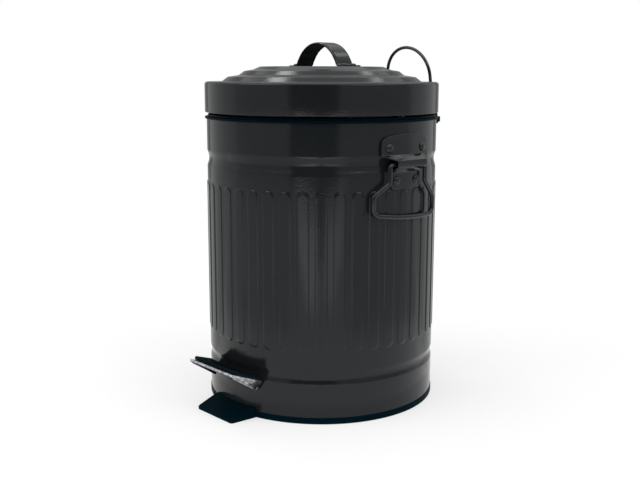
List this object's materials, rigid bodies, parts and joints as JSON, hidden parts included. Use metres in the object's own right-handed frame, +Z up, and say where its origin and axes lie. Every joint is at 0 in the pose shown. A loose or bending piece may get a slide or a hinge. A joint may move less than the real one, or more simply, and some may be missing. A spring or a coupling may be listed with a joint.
{
  "type": "pedal bin",
  "caption": "Round steel pedal bin in dustbin style: ribbed body, stepped hinged lid with strap handle, drop side handles, foot pedal, push rod and lift-out inner bucket.",
  "frame": {"origin": "on the floor at the body's axis", "axes": "+Z up, -Y to the front where the pedal is, +X to the right seen from the front"},
  "size_m": [0.218, 0.249, 0.3105],
  "materials": {
    "charcoal_paint": "semi-gloss charcoal paint",
    "black_plastic": "black moulded plastic",
    "bucket_plastic": "black moulded plastic, fine texture",
    "black_rubber": "black rubber",
    "bright_chrome": "bright plated steel",
    "plain_steel": "bright drawn steel"
  },
  "bodies": {
    "body": {"body_shell": "charcoal_paint", "base_ring": "black_plastic", "base_plate": "plain_steel", "rim_ring": "black_plastic", "lid_buffers": "black_rubber", "hinge_bracket": "black_plastic", "hinge_bracket_rivets": "plain_steel", "hinge_pin": "plain_steel", "carry_loop": "plain_steel", "rod_guide": "black_plastic", "pedal_bracket": "plain_steel", "pedal_bracket_rivets": "plain_steel", "pedal_pivot_pin": "plain_steel", "side_bracket_right": "charcoal_paint", "side_bracket_left": "charcoal_paint", "side_rivets_right": "charcoal_paint", "side_rivets_left": "charcoal_paint"},
    "lid": {"lid": "charcoal_paint", "lid_handle": "charcoal_paint", "lid_handle_rivets": "charcoal_paint", "lid_hinge_arm": "plain_steel", "lid_hinge_rivets": "plain_steel"},
    "pedal": {"pedal_lever": "bright_chrome", "pedal_pad": "black_rubber"},
    "rod": {"push_rod": "plain_steel"},
    "right_bail": {"side_bail_right": "charcoal_paint"},
    "left_bail": {"side_bail_left": "charcoal_paint"},
    "bucket": {"inner_bucket": "bucket_plastic"},
    "bucket_handle": {"bucket_bail": "plain_steel"}
  },
  "joints": [
    {"name": "lid_hinge", "type": "hinge", "parent": "body", "child": "lid", "pos_m": [0, 0.1065, 0.27], "axis": [-1, 0, 0], "range_deg": [0, 64]},
    {"name": "pedal_pivot", "type": "hinge", "parent": "body", "child": "pedal", "pos_m": [0, -0.046, 0.023], "axis": [1, 0, 0], "range_deg": [0, 5.7]},
    {"name": "rod_slide", "type": "slide", "parent": "body", "child": "rod", "axis": [0, 0, 1], "range_m": [0, 0.01405]},
    {"name": "right_bail_swing", "type": "hinge", "parent": "body", "child": "right_bail", "pos_m": [0.1038, 0, 0.2125], "axis": [0, -1, 0], "range_deg": [0, 95]},
    {"name": "left_bail_swing", "type": "hinge", "parent": "body", "child": "left_bail", "pos_m": [-0.1038, 0, 0.2125], "axis": [0, 1, 0], "range_deg": [0, 95]},
    {"name": "bucket_lift", "type": "slide", "parent": "body", "child": "bucket", "axis": [0, 0, 1], "range_m": [0, 0.012]},
    {"name": "bucket_handle_swing", "type": "hinge", "parent": "bucket", "child": "bucket_handle", "pos_m": [0, 0, 0.2502], "axis": [-1, 0, 0], "range_deg": [0, 7]}
  ],
  "couplings": [
    {"joint": "pedal_pivot", "follows": "lid_hinge", "ratio": 0.088682},
    {"joint": "rod_slide", "follows": "lid_hinge", "m_per_rad": 0.012531}
  ]
}
